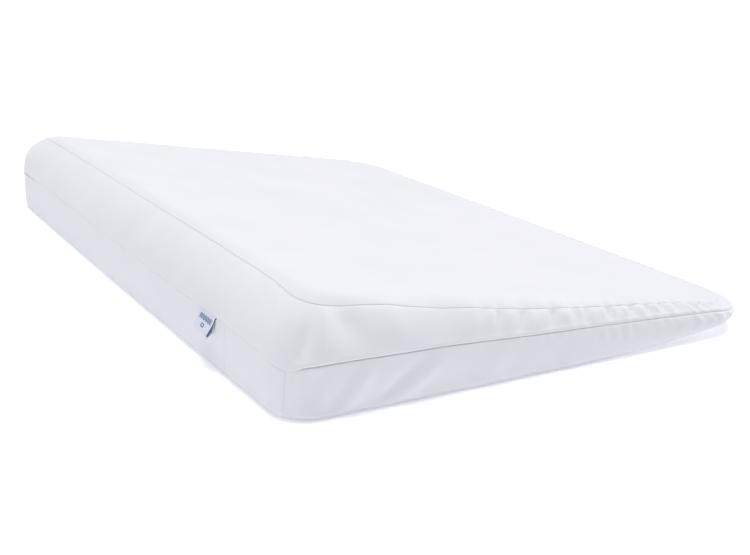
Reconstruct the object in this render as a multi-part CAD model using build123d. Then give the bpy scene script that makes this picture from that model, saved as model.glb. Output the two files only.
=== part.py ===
from build123d import *
import math
import os

# Memory foam wedge mattress: a two-layer foam wedge in a jersey liner, inside a
# zip-off fabric cover. Millimetres. The origin is at the bottom centre: +X runs
# down the slope to the thin end, +Y is along the width, and +Z is up.

# ---- driving dimensions -------------------------------------------------------
WIDTH = 700.0               # across the slope, the inside width of a cot bed
LENGTH = 490.0              # down the slope
TALL_HEIGHT = 92.0          # height of the sloping top, carried on to the tall wall
THIN_HEIGHT = 22.0          # height of the sloping top, carried on to the thin end
TALL_CORNER_R = 30.0        # plan radius of the two tall corners
THIN_CORNER_R = 56.0        # plan radius of the two thin corners
TALL_ROUND = 43.0           # how far in the top edge starts to roll over, tall end
THIN_ROUND = 15.0           # the same at the thin end
ROLL_START = 0.30           # share of the height at which the tall wall starts to roll in
SIDE_WALL_TALL = 48.0       # upright part of the two side walls, tall end
SIDE_WALL_THIN = 18.9       # the same at the thin end
BOTTOM_ROUND = 4.0          # radius of the bottom edge
NOSE_R = 5.0                # radius of the thin end's nose
LIFT_LENGTH = 206.0         # length of underside that curls up towards the nose

FABRIC = 1.0                # cover fabric with its turned seam allowance
TAPE = 0.5                  # zip tape
COIL_DEPTH = 1.8            # zip coil, measured into the cover
LINER_GAP = 0.3             # air between cover and liner
LINER = 0.6                 # jersey liner

MEMORY_LAYER = 18.0         # memory foam on top of the support foam
SEAM_DROP_TALL = 13.0       # top seam below the sloping top, tall end
SEAM_DROP_THIN = 1.0        # the same at the thin end
BOTTOM_SEAM_UP = 4.0        # bottom seam above the underside

ZIP_HEIGHT_TALL = 43.0      # middle seam and zip above the base, tall wall
ZIP_HEIGHT_THIN = 18.5      # the same at the thin end
SLIT = 1.4                  # opening between the two zip tapes
TAPE_REACH = 9.0            # edge of each tape from the middle of the zip
COIL_REACH = 2.5            # outside of each coil from the middle of the zip
CHANNEL_REACH = 10.2        # half height of the relief in the foam behind the zip
CHANNEL_DEPTH = 5.0         # depth of that relief from the outside of the cover
ZIP_TAIL = 44.0             # tape that runs on round the far corner, on the tall wall
STOP_LENGTH = 4.0           # end stops, along the zip
STOP_OVER = 0.4             # how far a stop stands out round the coil

INSERT_SEAM_FROM_SIDE = 100.0   # upright seam in the tall wall's lower border
LABEL_WIDTH = 29.0
LABEL_DROP = 15.0           # folded label, from its seam down to its fold
LABEL_FLARE = 8.0           # how far the fold stands off the wall
LABEL_FABRIC = 0.5
LABEL_FROM_SIDE = 132.0     # label's middle from the near side

SLIDER_LENGTH = 9.0
SLIDER_WIDTH = 7.4
SLIDER_PLATE = 1.0
SLIDER_GAP = 0.3            # running clearance round coil and tape
SADDLE_WIDTH = 4.4
SADDLE_LENGTH = 8.4
SADDLE_PLATE = 0.8
POST_WIDTH = 1.0
POST_LENGTH = 5.0
ARCH_WIDTH = 1.4
ARCH_WALL = 0.8
ARCH_SPAN = 6.8
PULL_BAR_R = 0.55
PULL_GAP = 0.3              # clearance of the pull's crossbar above and below
PULL_THICKNESS = 0.9
PULL_WIDTH = 5.2
PULL_LENGTH = 19.0
PULL_ARM = 0.9              # width of each arm beside the arch
PARK_GAP = 4.0              # parked slider from the top stops
END_GAP = 90.0              # opened slider from the far thin corner, before the wall leans in

# ---- values that follow -------------------------------------------------------
TALL_X = -LENGTH / 2
THIN_X = LENGTH / 2
FAR_Y = WIDTH / 2
SLOPE = (TALL_HEIGHT - THIN_HEIGHT) / LENGTH
SLOPE_ANGLE = math.atan(SLOPE)
CROSSING = 0.25             # the rolled edges cross their neighbours at a shallow angle
REACH = 60.0                # how far cutting shapes run past the wedge
PAST_END = 2.0              # how far the lofted body runs past its two ends before they are cut
LINER_OUT = FABRIC + LINER_GAP
FOAM_OUT = LINER_OUT + LINER
TAPE_IN = FABRIC + TAPE
COIL_IN = TAPE_IN + COIL_DEPTH
LIFT_START = THIN_X - LIFT_LENGTH


def top_height(x):
    """Height of the sloping top's plane."""
    return TALL_HEIGHT - SLOPE * (x - TALL_X)


def roll_in(x):
    """How far in from the side the top edge starts to roll over."""
    return TALL_ROUND + (THIN_ROUND - TALL_ROUND) * (x - TALL_X) / LENGTH


def slab_height(low, high, x):
    """Height on the straight line from low at the tall wall to high at the thin end."""
    return low + (high - low) * (x - TALL_X) / LENGTH


def zip_height(x):
    return slab_height(ZIP_HEIGHT_TALL, ZIP_HEIGHT_THIN, x)


def nose_centre(inset_top=0.0):
    """Centre of the nose's round, tangent to the end and to the sloping top."""
    x = THIN_X - NOSE_R
    return x, top_height(x) + inset_top - NOSE_R / math.cos(SLOPE_ANGLE)


def lift_radius():
    """Radius of the underside's curl, tangent to the base and to the nose."""
    x, z = nose_centre()
    run = x - LIFT_START
    return (run ** 2 + z ** 2 - NOSE_R ** 2) / (2 * (z - NOSE_R))


def across(outline, half_width):
    """An XZ outline as a solid across the wedge, half_width to each side."""
    face = make_face(Plane.XZ * outline)
    return extrude(face, amount=half_width, both=True)


# ---- the wedge's outer shape, and the same shape drawn in by an inset ----------
def side_shape(inset):
    """Tall wall with its rolled top edge, flat base, curled underside and nose."""
    reach_in = TALL_ROUND - inset
    wall_top = ROLL_START * TALL_HEIGHT
    centre_x = TALL_X + TALL_ROUND
    rise = top_height(centre_x) + CROSSING - wall_top
    drop = inset / math.cos(SLOPE_ANGLE)
    # Height of an ellipse that the lowered top line touches.
    reach_up = math.sqrt(((rise - drop) * math.cos(SLOPE_ANGLE)) ** 2
                         - (reach_in * math.sin(SLOPE_ANGLE)) ** 2) / math.cos(SLOPE_ANGLE)
    touch = math.degrees(math.atan2(reach_up, reach_in * SLOPE))
    roll = EllipticalCenterArc((centre_x, wall_top), reach_in, reach_up, start_angle=touch,
                               arc_size=180 - touch)
    nose_x, nose_z = nose_centre(CROSSING)
    nose_r = NOSE_R - inset
    curl_r = lift_radius() - inset
    low_x, low_z = nose_centre()
    curl_angle = math.atan2(low_x - LIFT_START, lift_radius() - low_z)
    curl_end = (LIFT_START + curl_r * math.sin(curl_angle),
                lift_radius() - curl_r * math.cos(curl_angle))
    curl_mid = (LIFT_START + curl_r * math.sin(curl_angle / 2),
                lift_radius() - curl_r * math.cos(curl_angle / 2))
    nose_top = (nose_x + nose_r * math.sin(SLOPE_ANGLE), nose_z + nose_r * math.cos(SLOPE_ANGLE))
    bottom_r = max(BOTTOM_ROUND - inset, 0.2)
    outline = Curve() + [
        roll,
        Line(roll @ 1, (TALL_X + inset, inset + bottom_r)),
        ThreePointArc((TALL_X + inset, inset + bottom_r),
                      (TALL_X + inset + bottom_r * (1 - math.sqrt(0.5)),
                       inset + bottom_r * (1 - math.sqrt(0.5))),
                      (TALL_X + inset + bottom_r, inset)),
        Line((TALL_X + inset + bottom_r, inset), (LIFT_START, inset)),
        ThreePointArc((LIFT_START, inset), curl_mid, curl_end),
        ThreePointArc(curl_end, (THIN_X - inset, nose_z), nose_top),
        Line(nose_top, roll @ 0),
    ]
    return across(outline, WIDTH / 2 + REACH)


def cross_section(x, inset):
    """Upright section across the width, with rolled top edges and a flat base."""
    top = top_height(x) - inset / math.cos(SLOPE_ANGLE)
    wall_top = slab_height(SIDE_WALL_TALL, SIDE_WALL_THIN, x)
    half = FAR_Y - inset
    flat = FAR_Y - roll_in(x)
    base = inset - CROSSING
    bottom_r = max(BOTTOM_ROUND - inset, 0.2)
    corner = bottom_r * (1 - math.sqrt(0.5))
    reach_in = roll_in(x) - inset
    right = EllipticalCenterArc((flat, wall_top), reach_in, top - wall_top, start_angle=0, arc_size=90)
    left = EllipticalCenterArc((-flat, wall_top), reach_in, top - wall_top, start_angle=90, arc_size=90)
    outline = Curve() + [
        Line((-half + bottom_r, base), (half - bottom_r, base)),
        ThreePointArc((half - bottom_r, base), (half - corner, base + corner), (half, base + bottom_r)),
        Line((half, base + bottom_r), (half, wall_top)),
        right,
        Line((flat, top), (-flat, top)),
        left,
        Line((-half, wall_top), (-half, base + bottom_r)),
        ThreePointArc((-half, base + bottom_r), (-half + corner, base + corner),
                      (-half + bottom_r, base)),
    ]
    plane = Plane(origin=(x, 0, 0), x_dir=(0, 1, 0), z_dir=(1, 0, 0))
    return make_face(plane * outline)


def plan_shape(inset):
    """Upright prism of the rounded plan."""
    length = LENGTH - 2 * inset
    width = WIDTH - 2 * inset
    plan = Rectangle(length, width)
    plan = fillet(plan.vertices().group_by(Axis.X)[0], TALL_CORNER_R - inset)
    plan = fillet(plan.vertices().group_by(Axis.X)[-1], THIN_CORNER_R - inset)
    return Pos(0, 0, -REACH) * extrude(plan, TALL_HEIGHT + 2 * REACH)


def wedge(inset):
    """The whole outer shape, drawn in by inset on every side."""
    sections = [cross_section(TALL_X - PAST_END, inset), cross_section(THIN_X + PAST_END, inset)]
    body = loft(sections, ruled=True)
    return body & side_shape(inset) & plan_shape(inset - CROSSING)


def block(low, high):
    """Box from its lowest to its highest corner."""
    size = [b - a for a, b in zip(low, high)]
    middle = [(a + b) / 2 for a, b in zip(low, high)]
    return Pos(*middle) * Box(*size)


def slab(bottom, top):
    """Everything between two sloping planes, each given by (tall, thin) heights."""
    x0, x1 = TALL_X - REACH, THIN_X + REACH
    outline = Polyline((x0, slab_height(*bottom, x0)), (x1, slab_height(*bottom, x1)),
                       (x1, slab_height(*top, x1)), (x0, slab_height(*top, x0)), close=True)
    return across(outline, WIDTH / 2 + REACH)


def zip_band(low, high):
    """Everything from low to high above the middle of the zip."""
    return slab((ZIP_HEIGHT_TALL + low, ZIP_HEIGHT_THIN + low),
                (ZIP_HEIGHT_TALL + high, ZIP_HEIGHT_THIN + high))


def zip_run(near_x, far_x, tail=None):
    """Plan region of the zip: from near_x on the near side, round the thin end, to
    far_x on the far side, or on round the far corner to tail from the far side."""
    low, high = -REACH, TALL_HEIGHT + REACH
    run = block((near_x, -FAR_Y - REACH, low), (THIN_X + REACH, 0, high))
    run += block((far_x, 0, low), (THIN_X + REACH, FAR_Y + REACH, high))
    if tail is not None:
        run += block((TALL_X - REACH, FAR_Y - tail, low), (THIN_X, FAR_Y + REACH, high))
    return run


def above_underside(height):
    """Everything more than height above the underside, curl included."""
    curl_r = lift_radius() - height
    angle = math.radians(20)
    end = (LIFT_START + curl_r * math.sin(angle), lift_radius() - curl_r * math.cos(angle))
    middle = (LIFT_START + curl_r * math.sin(angle / 2),
              lift_radius() - curl_r * math.cos(angle / 2))
    roof = TALL_HEIGHT + REACH
    outline = Curve() + [
        Line((TALL_X - REACH, roof), (TALL_X - REACH, height)),
        Line((TALL_X - REACH, height), (LIFT_START, height)),
        ThreePointArc((LIFT_START, height), middle, end),
        Line(end, (end[0], roof)),
        Line((end[0], roof), (TALL_X - REACH, roof)),
    ]
    return across(outline, WIDTH / 2 + REACH)


# ---- places along the zip --------------------------------------------------------
TAIL_FROM_SIDE = TALL_CORNER_R + ZIP_TAIL
NEAR_START = TALL_X + TALL_CORNER_R * (1 - math.sqrt(0.5))
FAR_START = TALL_X + TALL_CORNER_R
TAPE_OVERRUN = 4.0
OUTSIDE = wedge(0)
INSIDE_COVER = wedge(FABRIC)


def layer(outer, inner, low, high, run):
    """Strip of the shell between two shapes, low to high from the zip, along run."""
    return (outer & zip_band(low, high) & run) - inner


def channel(depth, reach, margin):
    """Relief behind the zip, depth into the cover."""
    run = zip_run(NEAR_START - TAPE_OVERRUN - margin, FAR_START, TAIL_FROM_SIDE + margin)
    return (zip_band(-reach, reach) & run) - plan_shape(depth)


# ---- cover panels -----------------------------------------------------------------
def cover_panels():
    """Top panel, upper and lower border strips, the short insert, and the bottom panel."""
    shell = OUTSIDE - INSIDE_COVER
    roof = (2 * TALL_HEIGHT, 2 * TALL_HEIGHT)
    over_seam = slab((TALL_HEIGHT - SEAM_DROP_TALL, THIN_HEIGHT - SEAM_DROP_THIN), roof)
    over_zip = zip_band(0, 2 * TALL_HEIGHT)
    over_bottom = above_underside(BOTTOM_SEAM_UP)
    slit = zip_band(-SLIT / 2, SLIT / 2) & zip_run(NEAR_START, FAR_START, TAIL_FROM_SIDE)
    top = shell & over_seam
    bottom = shell - over_bottom
    upper = (shell & over_zip) - over_seam - slit
    lower = (shell & over_bottom) - over_zip - slit
    insert_edge = -FAR_Y + INSERT_SEAM_FROM_SIDE
    corner = Polyline((TALL_X - REACH, insert_edge), (TALL_X + INSERT_SEAM_FROM_SIDE, insert_edge),
                      (TALL_X - REACH, -FAR_Y - REACH), close=True)
    insert_plan = extrude(make_face(corner), 2 * TALL_HEIGHT)
    return {
        "cover_top_panel": top,
        "cover_upper_border": upper,
        "cover_lower_border": lower - insert_plan,
        "cover_lower_border_insert": lower & insert_plan,
        "cover_bottom_panel": bottom,
    }


# ---- foam wedge and its liner -----------------------------------------------------
def filling():
    """Support foam, memory foam bonded on it, and the jersey liner round both."""
    core = wedge(FOAM_OUT) - channel(CHANNEL_DEPTH + LINER, CHANNEL_REACH + LINER, LINER)
    sleeve = wedge(LINER_OUT) - channel(CHANNEL_DEPTH, CHANNEL_REACH, 0)
    roof = (2 * TALL_HEIGHT, 2 * TALL_HEIGHT)
    memory = slab((TALL_HEIGHT - MEMORY_LAYER, THIN_HEIGHT - MEMORY_LAYER), roof)
    return {
        "foam_base": core - memory,
        "memory_foam_layer": core & memory,
        "inner_liner": sleeve - core,
    }


# ---- zip: two tapes, two coils and their stops ------------------------------------
def zip_parts():
    tape_back = wedge(TAPE_IN)
    tape_run = zip_run(NEAR_START - TAPE_OVERRUN, FAR_START, TAIL_FROM_SIDE)
    tape_core = INSIDE_COVER - plan_shape(CHANNEL_DEPTH - LINER_GAP)
    near_chain = NEAR_START + STOP_LENGTH
    far_chain = FAR_START + STOP_LENGTH
    coil_run = zip_run(near_chain, far_chain)
    coil_back = plan_shape(COIL_IN)
    stop_back = plan_shape(COIL_IN + STOP_OVER)
    stop_reach = COIL_REACH + STOP_OVER
    stop_slab = zip_run(NEAR_START, FAR_START) - coil_run
    near_half = block((TALL_X - REACH, -FAR_Y - REACH, -REACH), (THIN_X, 0, 2 * TALL_HEIGHT))
    parts = {}
    stops = []
    for name, side in (("upper", 1), ("lower", -1)):
        low, high = sorted((side * SLIT / 2, side * TAPE_REACH))
        parts[f"zip_tape_{name}"] = layer(tape_core, tape_back, low, high, tape_run)
        low, high = sorted((side * SLIT / 2, side * COIL_REACH))
        parts[f"zip_coil_{name}"] = layer(tape_back, coil_back, low, high, coil_run)
        low, high = sorted((side * SLIT / 2, side * stop_reach))
        stops += (layer(tape_back, stop_back, low, high, stop_slab) - near_half).solids()
    parts["zip_top_stops"] = Compound(stops)
    parts["zip_bottom_stop"] = layer(tape_back, stop_back, -stop_reach, stop_reach, stop_slab) & near_half
    return parts


# ---- slider and pull, parked at the closed end on the far side --------------------
ZIP_FALL = math.atan2(ZIP_HEIGHT_TALL - ZIP_HEIGHT_THIN, LENGTH)
PARK_X = FAR_START + STOP_LENGTH + PARK_GAP + SLIDER_LENGTH / 2
SLIDER_PLANE = Plane(origin=(PARK_X, FAR_Y, zip_height(PARK_X)),
                     x_dir=(math.cos(ZIP_FALL), 0, -math.sin(ZIP_FALL)), z_dir=(0, 1, 0))
SADDLE_TOP = SLIDER_GAP + SADDLE_PLATE
PIVOT_OUT = SADDLE_TOP + PULL_GAP + PULL_BAR_R
ARCH_UNDER = PIVOT_OUT + PULL_BAR_R + PULL_GAP


def rounded_plate(length, width, radius, low, high):
    """Plate with rounded corners, from low to high above the cover."""
    outline = fillet(Rectangle(length, width).vertices(), radius)
    return Pos(0, 0, low) * extrude(outline, high - low)


def zip_slider():
    """Back plate with side flanges round the coils, post, saddle and arch."""
    plate_face = -COIL_IN - SLIDER_GAP
    flange_tip = -TAPE_IN - SLIDER_GAP
    flange = SLIDER_WIDTH / 2 - COIL_REACH - SLIDER_GAP
    body = rounded_plate(SLIDER_LENGTH, SLIDER_WIDTH, 2.0, plate_face - SLIDER_PLATE, plate_face)
    for side in (-1, 1):
        middle = side * (SLIDER_WIDTH / 2 - flange / 2)
        rail = Box(SLIDER_LENGTH - 4, flange, flange_tip - plate_face)
        body += Pos(0, middle, (flange_tip + plate_face) / 2) * rail
    post = Box(POST_LENGTH, POST_WIDTH, SLIDER_GAP - plate_face)
    body += Pos(0, 0, (SLIDER_GAP + plate_face) / 2) * post
    body += rounded_plate(SADDLE_LENGTH, SADDLE_WIDTH, 1.8, SLIDER_GAP, SADDLE_TOP)
    arch_top = ARCH_UNDER + ARCH_WALL
    arch = Box(ARCH_SPAN, ARCH_WIDTH, arch_top - SADDLE_TOP)
    arch = Pos(0, 0, (arch_top + SADDLE_TOP) / 2) * arch
    arch = fillet(arch.edges().filter_by(Axis.Y).group_by(Axis.Z)[-1], ARCH_WALL * 0.9)
    window = Box(ARCH_SPAN - 2 * ARCH_WALL, ARCH_WIDTH * 2, ARCH_UNDER - SADDLE_TOP)
    body += arch - Pos(0, 0, (ARCH_UNDER + SADDLE_TOP) / 2) * window
    return SLIDER_PLANE * body


def zip_pull():
    """Flat tab whose crossbar lies under the slider's arch."""
    arm_in = ARCH_WIDTH / 2 + PULL_GAP
    bar_length = 2 * (arm_in + PULL_ARM)
    arch_corner = math.hypot(ARCH_SPAN / 2, ARCH_UNDER + ARCH_WALL - PIVOT_OUT)
    blade_start = arch_corner + PULL_GAP
    tab = Rot(90, 0, 0) * Cylinder(PULL_BAR_R, bar_length)
    for side in (-1, 1):
        arm = Box(blade_start + 1, PULL_ARM, PULL_THICKNESS)
        tab += Pos((blade_start + 1) / 2, side * (arm_in + PULL_ARM / 2), 0) * arm
    blade = rounded_plate(PULL_LENGTH - blade_start, PULL_WIDTH, 2.0,
                          -PULL_THICKNESS / 2, PULL_THICKNESS / 2)
    tab += Pos((PULL_LENGTH + blade_start) / 2, 0, 0) * blade
    return SLIDER_PLANE * (Pos(0, 0, PIVOT_OUT) * tab)


# ---- folded label, its two ends caught in the middle seam ---------------------------
def side_label():
    """Loop of ribbon that hangs from the middle seam and flares off the tall wall."""
    seam = ZIP_HEIGHT_TALL
    fold = seam - LABEL_DROP
    root_x = TALL_X + 2.5
    outline = Polyline((root_x, seam + 1), (TALL_X - LABEL_FLARE, fold + 1),
                       (TALL_X - LABEL_FLARE * 0.4, fold), (root_x, seam - 3), close=True)
    outer = make_face(outline)
    folds = outer.vertices().sort_by(Axis.Y)[:2]
    outer = fillet(folds, 1.6)
    loop = Plane.XZ * (outer - offset(outer, amount=-LABEL_FABRIC, kind=Kind.INTERSECTION))
    middle = -FAR_Y + LABEL_FROM_SIDE
    strip = Pos(0, middle, 0) * extrude(loop, amount=LABEL_WIDTH / 2, both=True)
    return strip - OUTSIDE


# ---- write every piece ---------------------------------------------------------------
pieces = {**cover_panels(), **filling(), **zip_parts()}
pieces["zip_slider"] = zip_slider()
pieces["zip_pull"] = zip_pull()
pieces["side_label"] = side_label()

os.makedirs("parts", exist_ok=True)
for name, piece in pieces.items():
    export_step(piece, f"parts/{name}.step")

LAST_X = THIN_X - THIN_CORNER_R - SLIDER_LENGTH / 2 - END_GAP
print("slide axis", [round(v, 6) for v in SLIDER_PLANE.x_dir])
print("slide travel", round((LAST_X - PARK_X) / math.cos(ZIP_FALL), 2))
print("pull pivot", [round(v, 4) for v in SLIDER_PLANE.from_local_coords((0, 0, PIVOT_OUT))])
print("pull axis", [round(v, 6) for v in SLIDER_PLANE.x_dir.cross(SLIDER_PLANE.z_dir)])
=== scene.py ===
import math
import bpy
import numpy as np
from mathutils import Matrix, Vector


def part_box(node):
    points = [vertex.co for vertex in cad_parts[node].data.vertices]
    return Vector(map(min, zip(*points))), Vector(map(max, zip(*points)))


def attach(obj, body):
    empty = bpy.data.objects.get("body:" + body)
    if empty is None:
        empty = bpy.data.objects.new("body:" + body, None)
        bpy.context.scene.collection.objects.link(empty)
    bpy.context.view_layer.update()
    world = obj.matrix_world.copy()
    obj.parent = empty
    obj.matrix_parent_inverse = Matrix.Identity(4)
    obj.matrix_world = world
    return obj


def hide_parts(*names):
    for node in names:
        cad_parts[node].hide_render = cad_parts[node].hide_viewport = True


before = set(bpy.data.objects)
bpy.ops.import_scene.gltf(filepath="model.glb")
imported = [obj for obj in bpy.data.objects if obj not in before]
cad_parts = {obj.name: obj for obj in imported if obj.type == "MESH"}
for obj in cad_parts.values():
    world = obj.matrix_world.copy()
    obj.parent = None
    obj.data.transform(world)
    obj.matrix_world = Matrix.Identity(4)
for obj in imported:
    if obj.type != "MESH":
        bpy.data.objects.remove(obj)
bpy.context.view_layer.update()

# ---- foam wedge ------------------------------------------------------------------
# The filling is a long wedge of off-white support foam with a sheet of cream memory
# foam bonded on its sloping top. Both are cut with a wire, so their faces are matte
# and full of fine open cells. They lie loose inside the liner.
border_low, border_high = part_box("cover_lower_border")
TALL_X, NEAR_Y = border_low[0], border_low[1]
THIN_X, FAR_Y = border_high[0], border_high[1]
LENGTH, WIDTH = THIN_X - TALL_X, FAR_Y - NEAR_Y
TALL_TOP, THIN_TOP = 0.0915, 0.0220     # sloping top, carried on to its two ends
CURL_START, CURL_UP = 0.024, 0.0171     # where the underside leaves the floor, and its rise
ROLL_TALL, ROLL_THIN = 0.0431, 0.0148   # how far in the rolled top edge reaches
TUCK_UNDER = 0.0015                     # how far the wall draws in towards the floor
BOTTOM_ROUND = 0.0028                   # rounding of the bottom edge
BOTTOM_EDGE = 0.0060                    # height over which that rounding runs
UPRIGHT, MOST_UPRIGHT = 0.30, 0.80      # share of the height below the roll, and its most
CORNERS = (0.0304, 0.0560, 0.0560, 0.0304)   # plan radii, from the near tall corner
CORNER_GROW = 0.6                       # how fast a corner's centre moves in
BULGE = (0.0011, 0.0011, 0.0, 0.0011)   # sides swell between their corners
ZIP_TALL, ZIP_THIN = 0.0430, 0.0185     # zip on the far side, at the two ends
ZIP_LAND = 0.0060                       # flat cloth kept above the zip on the far side
FAR_BAND, FAR_EASE = 0.10, 0.06         # where the far side's own shape starts, and over what


def top_plane(x):
    return TALL_TOP + (THIN_TOP - TALL_TOP) * (x - TALL_X) / LENGTH


def underside(x):
    return CURL_UP * np.clip((x - CURL_START) / (THIN_X - CURL_START), 0, 1) ** 2


def roll_reach(x):
    return ROLL_TALL + (ROLL_THIN - ROLL_TALL) * (x - TALL_X) / LENGTH


def upright_share(x, y):
    """Share of the height that stands upright; more on the far side, where the slider runs."""
    zip_z = ZIP_TALL + (ZIP_THIN - ZIP_TALL) * (x - TALL_X) / LENGTH
    floor = underside(x)
    far = np.clip((zip_z + ZIP_LAND - floor) / (top_plane(x) - floor), UPRIGHT, MOST_UPRIGHT)
    t = np.clip((y - FAR_Y + FAR_BAND) / FAR_EASE, 0, 1)
    return UPRIGHT + (far - UPRIGHT) * t * t * (3 - 2 * t)


def ring(u, depth):
    """Plan point on the outline drawn in by depth; u gains 1 along each of the four sides."""
    side = np.floor(u).astype(int) % 4
    f = u - np.floor(u)
    first, last = np.array(CORNERS)[side], np.array(CORNERS)[(side + 1) % 4]
    span = np.where(side % 2 == 0, LENGTH, WIDTH)
    arc0, arc1 = first * math.pi / 4, last * math.pi / 4
    straight = span - first - last
    run = f * (arc0 + straight + arc1)
    depth = depth - np.array(BULGE)[side] * 4 * f * (1 - f)
    centre0, centre1 = first + CORNER_GROW * depth, last + CORNER_GROW * depth
    in0, in1 = run < arc0, run > arc0 + straight
    angle = np.where(in0, (run / arc0 - 1) * math.pi / 4,
                     np.where(in1, (run - arc0 - straight) / arc1 * math.pi / 4, 0))
    t = np.clip((run - arc0) / straight, 0, 1)
    along = centre0 + t * (span - centre0 - centre1)
    radius = np.where(in0, centre0, np.where(in1, centre1, 0)) - depth
    turned = in0 | in1
    along = np.where(turned, along + radius * np.sin(angle), along)
    away = np.where(turned, depth + radius * (1 - np.cos(angle)), depth)
    x = np.select([side == 0, side == 1, side == 2], [TALL_X + along, THIN_X - away, THIN_X - along],
                  TALL_X + away)
    y = np.select([side == 0, side == 1, side == 2], [NEAR_Y + away, NEAR_Y + along, FAR_Y - away],
                  FAR_Y - along)
    return x, y


def wall(u, s):
    """Point on the side of the wedge; s is -1 underneath, 0 at the widest and 1 on top."""
    u, s = np.broadcast_arrays(np.asarray(u, float), np.asarray(s, float))
    draw = 1 - np.sqrt(np.clip(1 - s * s, 0, 1))
    x, y = ring(u, np.zeros_like(s))
    for _ in range(3):
        share = upright_share(x, y)
        floor = underside(x)
        height = top_plane(x) - floor
        z = np.where(s > 0, share + (1 - share) * s, share * (1 + s)) * height
        edge = np.minimum(BOTTOM_EDGE, 0.5 * share * height)
        rounded = BOTTOM_ROUND * edge / BOTTOM_EDGE * np.clip(1 - z / edge, 0, 1) ** 2
        x, y = ring(u, np.where(s > 0, roll_reach(x) * draw, TUCK_UNDER * draw + rounded))
    return np.stack([x, y, floor + z], -1)


def depth_of(x, y):
    """How far in from the outline a plan point lies."""
    tx, ty = (x - TALL_X) / LENGTH, (y - NEAR_Y) / WIDTH
    to_tall = x - TALL_X + BULGE[3] * 4 * ty * (1 - ty)
    to_thin = THIN_X - x + BULGE[1] * 4 * ty * (1 - ty)
    to_near = y - NEAR_Y + BULGE[0] * 4 * tx * (1 - tx)
    to_side = np.minimum(to_near, FAR_Y - y)
    depth = np.minimum(np.minimum(to_tall, to_thin), to_side)
    for to_end, radius in ((to_tall, CORNERS[0]), (to_thin, CORNERS[1])):
        level = np.minimum(to_end, to_side)
        for _ in range(8):
            centre = radius + CORNER_GROW * level
            a, b = centre - to_end, centre - to_side
            level = np.where((a > 0) & (b > 0), centre - np.hypot(a, b), np.minimum(to_end, to_side))
        depth = np.minimum(depth, level)
    return depth


def top_surface(x, y):
    """Height of the wedge's top over a plan point, rolled edges included."""
    draw = np.clip(depth_of(x, y) / roll_reach(x), 0, 1)
    s = np.sqrt(1 - (1 - draw) ** 2)
    share = upright_share(x, y)
    floor = underside(x)
    return floor + (top_plane(x) - floor) * (share + (1 - share) * s)


def spaced(cells, crowd=0.0):
    """Steps from 0 to 1, closer together at both ends by crowd."""
    t = np.linspace(0, 1, cells + 1)
    return (1 - crowd) * t + crowd * (0.5 - 0.5 * np.cos(math.pi * t))


def edge_steps(along, across, crowd=0.0):
    """Values of u round the four sides, one for each grid column."""
    a, b = spaced(along, crowd)[:-1], spaced(across, crowd)[:-1]
    return np.concatenate([a, 1 + b, 2 + a, 3 + b])


CORNER_CELLS = 22           # cells from a corner of a filled plan that are evened out
EVENING_PASSES = 80


def filled_plan(edge, along, across, crowd=0.0):
    """Grid of plan points that fills a closed edge, given as points in edge_steps order."""
    a = spaced(along, crowd)[:, None, None]
    b = spaced(across, crowd)[None, :, None]
    near, thin = edge[:along + 1], edge[along:along + across + 1]
    far = edge[along + across:2 * along + across + 1][::-1]
    tall = np.vstack([edge[2 * along + across:], edge[:1]])[::-1]
    grid = ((1 - b) * near[:, None] + b * far[:, None] + (1 - a) * tall[None] + a * thin[None]
            - ((1 - a) * (1 - b) * near[0] + a * (1 - b) * near[-1]
               + (1 - a) * b * far[0] + a * b * far[-1]))
    i, j = np.arange(along + 1)[:, None], np.arange(across + 1)[None]
    from_corner = np.hypot(np.minimum(i, along - i), np.minimum(j, across - j))
    ease = np.clip(1 - from_corner / CORNER_CELLS, 0, 1)[1:-1, 1:-1, None]
    for _ in range(EVENING_PASSES):
        mean = (grid[:-2, 1:-1] + grid[2:, 1:-1] + grid[1:-1, :-2] + grid[1:-1, 2:]) / 4
        grid[1:-1, 1:-1] += ease * (mean - grid[1:-1, 1:-1])
    return grid


def grid_quads(rows, columns, closed=False):
    """Quads of points stored row by row, joined round at the end if closed."""
    r = np.arange(rows - 1)[:, None]
    c = np.arange(columns if closed else columns - 1)[None]
    n = (c + 1) % columns
    return np.stack([r * columns + c, r * columns + n,
                     (r + 1) * columns + n, (r + 1) * columns + c], -1).reshape(-1, 4)


def rim_of(along, across):
    """Indices of a filled grid's rim, in edge_steps order."""
    width = across + 1
    near = np.arange(along) * width
    thin = along * width + np.arange(across)
    far = np.arange(along, 0, -1) * width + across
    tall = np.arange(across, 0, -1)
    return np.concatenate([near, thin, far, tall])


def placed(name, data):
    """New object at the origin, in the scene."""
    made = bpy.data.objects.new(name, data)
    bpy.context.scene.collection.objects.link(made)
    return made


def new_piece(name, points, quads, uv=None):
    """Smooth mesh object at the origin; uv has one place for each quad corner."""
    mesh = bpy.data.meshes.new(name)
    mesh.from_pydata(np.reshape(points, (-1, 3)).tolist(), [], np.asarray(quads).tolist())
    if uv is not None:
        layer = mesh.uv_layers.new(name="cloth")
        layer.data.foreach_set("uv", np.reshape(uv, -1).astype(np.float32))
    mesh.shade_smooth()
    return placed(name, mesh)


def new_finish(name, colour, roughness, sheen=0.0):
    """Material with its constant values on the shader's own sockets."""
    material = bpy.data.materials.new(name)
    material.use_nodes = True
    nodes = material.node_tree.nodes
    shader = nodes["Principled BSDF"]
    shader.inputs["Base Color"].default_value = (*colour, 1)
    shader.inputs["Roughness"].default_value = roughness
    shader.inputs["Sheen Weight"].default_value = sheen
    shader.inputs["Sheen Roughness"].default_value = 0.5
    return material, nodes, material.node_tree.links, shader


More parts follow.
